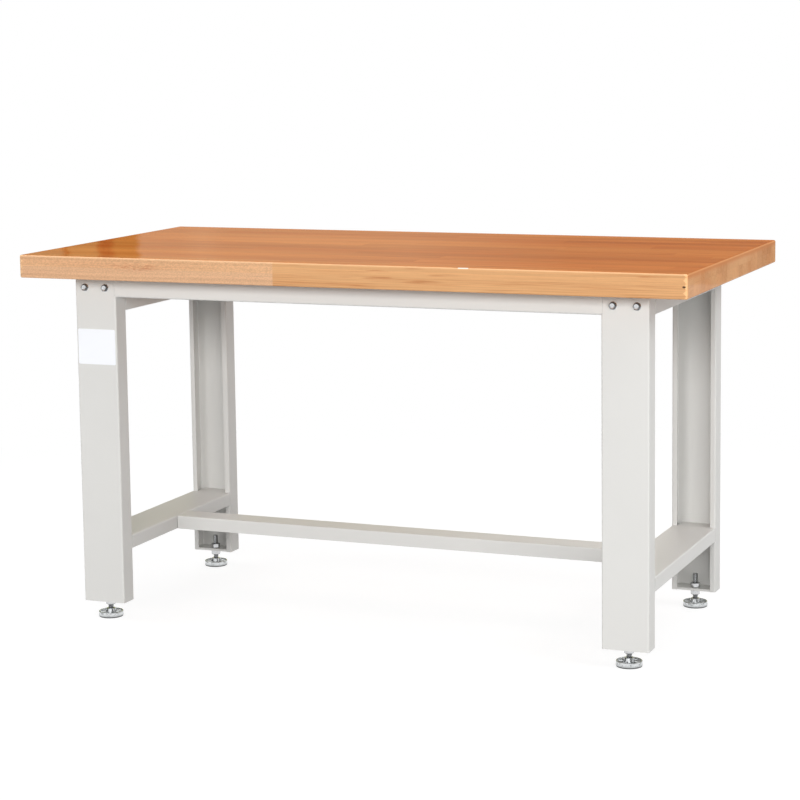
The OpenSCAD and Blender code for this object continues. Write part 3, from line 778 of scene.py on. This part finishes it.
def sole_solid(sole_r, sole_z):
    """A rubber sole: a disc with a rounded edge whose underside has ring grooves between the lands that stand
    on the floor."""
    angle = even_angles(96)
    lands = [(2.0 * MM, 0.0)]
    for k in range(6):
        start = (4.0 + 3.6 * k) * MM
        lands += [(start + along * MM, up * MM) for along, up in ((0, 0), (0.3, 0.45), (1.1, 0.45), (1.4, 0))]
    profile = np.array(lands + [(sole_r - 0.5 * MM, 0), (sole_r - 0.15 * MM, 0.15 * MM), (sole_r, 0.5 * MM),
                                (sole_r, sole_z), (sole_r * 0.5, sole_z)])
    return turned_solid(spread(profile[:, 0], angle), spread(profile[:, 1], angle), angle)


# Pieces

class WORKBENCH_OT_worktop(Operator):
    """Make the worktop from glued and lacquered beech"""
    bl_idname = "workbench.worktop"
    bl_label = "Worktop"

    def execute(self, context):
        material = finish_of(lacquered_beech, context.scene.workbench_top)
        solid = rounded_slab(low_corner("worktop"), high_corner("worktop"), plan_radius=6 * MM,
                             edge_radius=3.2 * MM)
        make_piece("beech_worktop", solid, material, "root", ["worktop"], 60)
        return {"FINISHED"}


class WORKBENCH_OT_sheet_frame(Operator):
    """Coat the folded legs, plates and rails"""
    bl_idname = "workbench.sheet_frame"
    bl_label = "Coated frame"

    def execute(self, context):
        assign(finish_of(powder_coat, context.scene.workbench_frame), SHEET_NODES)
        return {"FINISHED"}


class WORKBENCH_OT_label(Operator):
    """Finish the blank label"""
    bl_idname = "workbench.label"
    bl_label = "Blank label"

    def execute(self, context):
        assign(finish_of(label_film), ["blank_label"])
        return {"FINISHED"}


class WORKBENCH_OT_frame_bolts(Operator):
    """Make the flanged bolts of the rails and the stretcher"""
    bl_idname = "workbench.frame_bolts"
    bl_label = "Frame bolts"

    def execute(self, context):
        settings = context.scene.workbench_fasteners
        material = finish_of(bright_zinc, settings)
        flange, shank = 8.5 * MM, 16 * MM
        solid = bolt_solid(settings, thread_r=4 * MM, shank_l=shank, across_flats=13 * MM, flange_r=flange,
                           head_h=7.2 * MM)
        for end, out, corner in (("front", -1, "front_left"), ("rear", 1, "rear_left")):
            node = f"{end}_rail_bolts"
            outer = high_corner(node)[0] - flange
            inner = -2 * middle(f"{corner}_leg")[0] - outer
            seat = (low_corner if out < 0 else high_corner)(f"{corner}_leg")[1]
            places = [placed((side * x, seat, middle(node)[2]), (0, out, 0))
                      for side in (-1, 1) for x in (outer, inner)]
            make_piece(f"{end}_flanged_bolts", copies(solid, places), material, "root", [node])
        node = "stretcher_bolts"
        low, high = low_corner(node), high_corner(node)
        places = [placed((side * (high[0] - shank), y, middle(node)[2]), (-side, 0, 0))
                  for side in (-1, 1) for y in (low[1] + flange, high[1] - flange)]
        make_piece("stretcher_flanged_bolts", copies(solid, places), material, "root", [node])
        return {"FINISHED"}


class WORKBENCH_OT_foot_studs(Operator):
    """Make the threaded studs of the four feet"""
    bl_idname = "workbench.foot_studs"
    bl_label = "Foot studs"

    def execute(self, context):
        settings = context.scene.workbench_fasteners
        material = finish_of(bright_zinc, settings)
        for corner in CORNERS:
            node, ball_z = f"{corner}_foot_stud", ball_height(corner)
            solid = stud_solid(settings, thread_r=6 * MM, ball_r=half_width(node), top_z=high_corner(node)[2],
                               neck_z=ball_z + 8 * MM, neck_r=4.5 * MM, ball_z=ball_z)
            make_upright(f"{corner}_threaded_stud", solid, material, f"{corner}_stud", node)
        return {"FINISHED"}


class WORKBENCH_OT_foot_nuts(Operator):
    """Make the adjusting nuts and lock nuts, and plate the hidden fasteners"""
    bl_idname = "workbench.foot_nuts"
    bl_label = "Foot nuts"

    def execute(self, context):
        material = finish_of(bright_zinc, context.scene.workbench_fasteners)
        for corner in CORNERS:
            for kind in ("adjusting_nut", "lock_nut"):
                node = f"{corner}_{kind}"
                solid = nut_solid(across_flats=19 * MM, bore_r=6.05 * MM, low_z=low_corner(node)[2],
                                  high_z=high_corner(node)[2])
                make_upright(f"{corner}_hexagon_{kind}", solid, material, node, node)
        assign(material, [f"{corner}_ball_cup" for corner in CORNERS])
        assign(material, ["front_rail_nuts", "rear_rail_nuts", "stretcher_nuts", "worktop_screws",
                          "worktop_washers"])
        return {"FINISHED"}


class WORKBENCH_OT_foot_pads(Operator):
    """Cast the ribbed pads and give them their rubber soles"""
    bl_idname = "workbench.foot_pads"
    bl_label = "Foot pads"

    def execute(self, context):
        settings = context.scene.workbench_feet
        casting = finish_of(plated_casting, settings)
        rubber = finish_of(sole_rubber, settings)
        for corner in CORNERS:
            pad, sole, body = f"{corner}_foot_pad", f"{corner}_foot_sole", f"{corner}_pad"
            hub_z = high_corner(pad)[2]
            solid = pad_solid(settings, base_z=low_corner(pad)[2], rim_z=hub_z - 6 * MM, hub_z=hub_z,
                              pad_r=half_width(pad), ball_z=ball_height(corner), cup_r=8.6 * MM)
            make_upright(f"{corner}_ribbed_pad", solid, casting, body, pad, 50)
            solid = sole_solid(half_width(sole), high_corner(sole)[2])
            make_upright(f"{corner}_rubber_sole", solid, rubber, body, sole)
        return {"FINISHED"}


class WORKBENCH_OT_stage(Operator):
    """Set the floor, the lights and the camera"""
    bl_idname = "workbench.stage"
    bl_label = "Stage"

    def execute(self, context):
        settings = context.scene.workbench_stage
        floor()
        backdrop_ring()
        sky(settings)
        for name, place, size, energy in (
                ("front", (1.0, -9.5, 3.4), (9.0, 2.2), settings.front),
                ("corner", (7.0, -7.0, 1.6), (4.5, 2.6), settings.corner),
                ("side", (7.0, -0.5, 5.2), (5.0, 3.0), settings.side),
                ("right_overhead", (2.8, -0.2, 3.2), (2.2, 3.0), settings.overhead),
                ("left_overhead", (-2.8, -0.2, 3.2), (2.2, 3.0), settings.overhead),
                ("back", (0.0, 9.5, 2.2), (8.0, 3.0), settings.back)):
            lamp(f"{name}_softbox", place, (0, 0, 0.45), size, energy)
        camera(settings)
        context.scene.view_settings.view_transform = "Standard"
        return {"FINISHED"}


def floor():
    """A pale floor that stays white in the open and keeps the soft shadow under the bench."""
    mesh = bpy.data.meshes.new("floor")
    reach = 14.0
    corners = [(-reach, -reach, 0), (reach, -reach, 0), (reach, reach, 0), (-reach, reach, 0)]
    mesh.from_pydata(corners, [], [(0, 1, 2, 3)])
    mesh.materials.append(floor_paint())
    plane = add_object("floor", mesh)


def seen_directly(f):
    """1 for rays that show the background: from the camera, a reflection or a transmission."""
    path = f.add("LightPath").outputs
    either = f.math("MAXIMUM", path["Is Camera Ray"], path["Is Glossy Ray"])
    return f.math("MAXIMUM", either, path["Is Transmission Ray"])


def floor_paint():
    """Pale paint: a plain pale diffuse floor for bounced light, and a mostly white one where it is seen."""
    f = Finish("floor_paint")
    bounce = f.add("BsdfDiffuse", {"Color": (0.40, 0.40, 0.40, 1)})
    distance = f.length(f.place)
    grey = f.span(distance, 1.0, 2.4, 0.26, 0.0)
    shade = f.add("BsdfDiffuse", {"Color": f.joined(grey, grey, grey)})
    white = f.add("Emission", {"Color": (1, 1, 1, 1), "Strength": f.span(distance, 1.0, 2.4, 0.82, 1.0)})
    seen = f.add("AddShader", {0: shade.outputs[0], 1: white.outputs[0]})
    paint = f.add("MixShader", {0: seen_directly(f), 1: bounce.outputs[0], 2: seen.outputs[0]})
    f.add("OutputMaterial", {"Surface": paint.outputs[0]})
    return f.owner


def backdrop_ring():
    """A dim, wide backdrop all round that only gloss shows: a band whose brightness goes through soft steps with
    its direction, and fades to white at its upper edge. Directions are degrees to the left of straight behind."""
    radius, height, count = 7.0, 7.5, 120
    angle = even_angles(count)
    ring = np.stack([radius * np.cos(angle), radius * np.sin(angle)], -1)
    points = np.concatenate([np.column_stack([ring, np.full(count, z)]) for z in (0.0, height)])
    mesh = bpy.data.meshes.new("backdrop_ring")
    mesh.from_pydata(points.tolist(), [], grid_faces(2, count)[:, ::-1].tolist())
    f = Finish("backdrop_ring")
    x, y, z = f.split(f.place)
    turn = f.times(f.math("ARCTAN2", f.times(x, -1.0), y), 360 / TAU)

    def bands(low, high, stops, tint=(1.0, 1.0, 1.0)):
        """Colours by direction between two directions."""
        ramp = f.add("ValToRGB", {"Fac": f.span(turn, low, high, smooth=False)})
        elements = ramp.color_ramp.elements
        for k, (degrees, level) in enumerate(stops):
            colour = level if isinstance(level, tuple) else [level * share for share in tint]
            place = (degrees - low) / (high - low)
            stop = elements.new(place) if 0 < k < len(stops) - 1 else elements[0 if k == 0 else len(elements) - 1]
            stop.position, stop.color = place, (*colour, 1)
        return ramp.outputs["Color"]

    around = bands(-180, 180, (
        (-180, 0.9), (-150, 0.9), (-140, 0.08), (-112, 0.05), (-98, 0.9), (-72, 0.9), (-60, 0.2), (-20, 0.40),
        (0, (0.36, 0.348, 0.24)), (10, (0.36, 0.348, 0.24)), (46, (0.27, 0.261, 0.18)), (52, 0.05),
        (112, 0.05), (124, 0.1), (140, 0.95), (168, 0.95), (180, 0.9)))
    golden, olive, brown, notch = (0.42, 0.48, 0.20), (0.32, 0.50, 0.28), (0.36, 0.32, 0.09), (0.02, 0.08, 0.02)
    behind = bands(10, 46, (
        (10, 0.40), (15, 0.44), (22, 0.86), (30, 0.84), (31, 0.98), (32, 0.86), (33.65, 0.86),
        (33.85, brown), (34.75, brown), (34.95, 0.02), (35.4, 0.02), (35.6, golden), (36.7, golden),
        (36.8, notch), (36.95, notch), (37.05, olive), (39, olive), (46, 0.3)),
        tint=(0.90, 0.87, 0.60))
    near = f.below(f.apart(turn, 28.0), 17.9)
    colour = f.mixed(near, around, behind)
    colour = f.mixed(f.span(z, height * 0.55, height), colour, (1.0, 1.0, 1.0))
    light = f.add("Emission", {"Color": colour})
    f.add("OutputMaterial", {"Surface": light.outputs[0]})
    mesh.materials.append(f.owner)
    band = add_object("backdrop_ring", mesh)
    for kind in ("camera", "diffuse", "transmission", "volume_scatter", "shadow"):
        setattr(band, f"visible_{kind}", False)


def sky(settings):
    """White all round where it is seen, and a softer even light where it only lights the bench."""
    f = Finish("studio", "worlds")
    strength = f.span(seen_directly(f), 0.0, 1.0, settings.sky, 1.0, smooth=False)
    back = f.add("Background", {"Color": (1, 1, 1, 1), "Strength": strength})
    f.add("OutputWorld", {"Surface": back.outputs[0]})
    bpy.context.scene.world = f.owner


def lamp(name, place, target, size, energy):
    """A rectangular soft light that faces a target."""
    light = bpy.data.lights.new(name, "AREA")
    light.shape = "RECTANGLE"
    light.size, light.size_y = size
    light.energy = energy
    away = Vector(place) - Vector(target)
    holder = add_object(name, light)
    holder.matrix_world = Matrix.Translation(place) @ away.to_track_quat("Z", "Y").to_matrix().to_4x4()


def camera(settings):
    """The photographed view: yaw, pitch and roll turned into the camera's right, up and back axes."""
    yaw, pitch, roll = settings.yaw, settings.pitch, settings.roll
    ahead = np.array([-math.sin(yaw) * math.cos(pitch), math.cos(yaw) * math.cos(pitch), -math.sin(pitch)])
    right = np.array([math.cos(yaw), math.sin(yaw), 0.0])
    up = np.cross(right, ahead)
    turned_right = math.cos(roll) * right + math.sin(roll) * up
    turned_up = math.cos(roll) * up - math.sin(roll) * right
    data = bpy.data.cameras.new("photo_view")
    frame_px = 800.0
    data.sensor_width = 36.0
    data.lens = settings.focal * data.sensor_width / frame_px
    data.shift_y = (settings.centre_row - frame_px / 2) / frame_px
    data.clip_end = 60.0
    place = np.eye(4)
    place[:3, 0], place[:3, 1], place[:3, 2], place[:3, 3] = turned_right, turned_up, -ahead, settings.eye
    holder = add_object("photo_view", data)
    holder.matrix_world = Matrix(place.tolist())
    bpy.context.scene.camera = holder


class WORKBENCH_PT_panel(Panel):
    """Lists the pieces and the stage"""
    bl_idname = "WORKBENCH_PT_panel"
    bl_label = "Workbench"
    bl_space_type = "VIEW_3D"
    bl_region_type = "UI"
    bl_category = "Workbench"

    def draw(self, context):
        for name in STEPS:
            self.layout.operator(f"workbench.{name}")


STEPS = ("worktop", "sheet_frame", "label", "frame_bolts", "foot_studs", "foot_nuts", "foot_pads", "stage")
SETTINGS = {
    "workbench_top": WorktopSettings,
    "workbench_frame": FrameSettings,
    "workbench_fasteners": FastenerSettings,
    "workbench_feet": FootSettings,
    "workbench_stage": StageSettings,
}
CLASSES = (*SETTINGS.values(), WORKBENCH_OT_worktop, WORKBENCH_OT_sheet_frame, WORKBENCH_OT_label,
           WORKBENCH_OT_frame_bolts, WORKBENCH_OT_foot_studs, WORKBENCH_OT_foot_nuts, WORKBENCH_OT_foot_pads,
           WORKBENCH_OT_stage, WORKBENCH_PT_panel)


def register():
    """Registers the classes and hangs the settings on the scene."""
    for cls in CLASSES:
        bpy.utils.register_class(cls)
    for name, cls in SETTINGS.items():
        setattr(Scene, name, PointerProperty(type=cls))


def unregister():
    """Takes the settings and the classes away again."""
    for name in SETTINGS:
        delattr(Scene, name)
    for cls in reversed(CLASSES):
        bpy.utils.unregister_class(cls)


def main():
    """Makes every piece and the stage in order."""
    register()
    for name in STEPS:
        getattr(bpy.ops.workbench, name)()


if __name__ == "__main__":
    main()
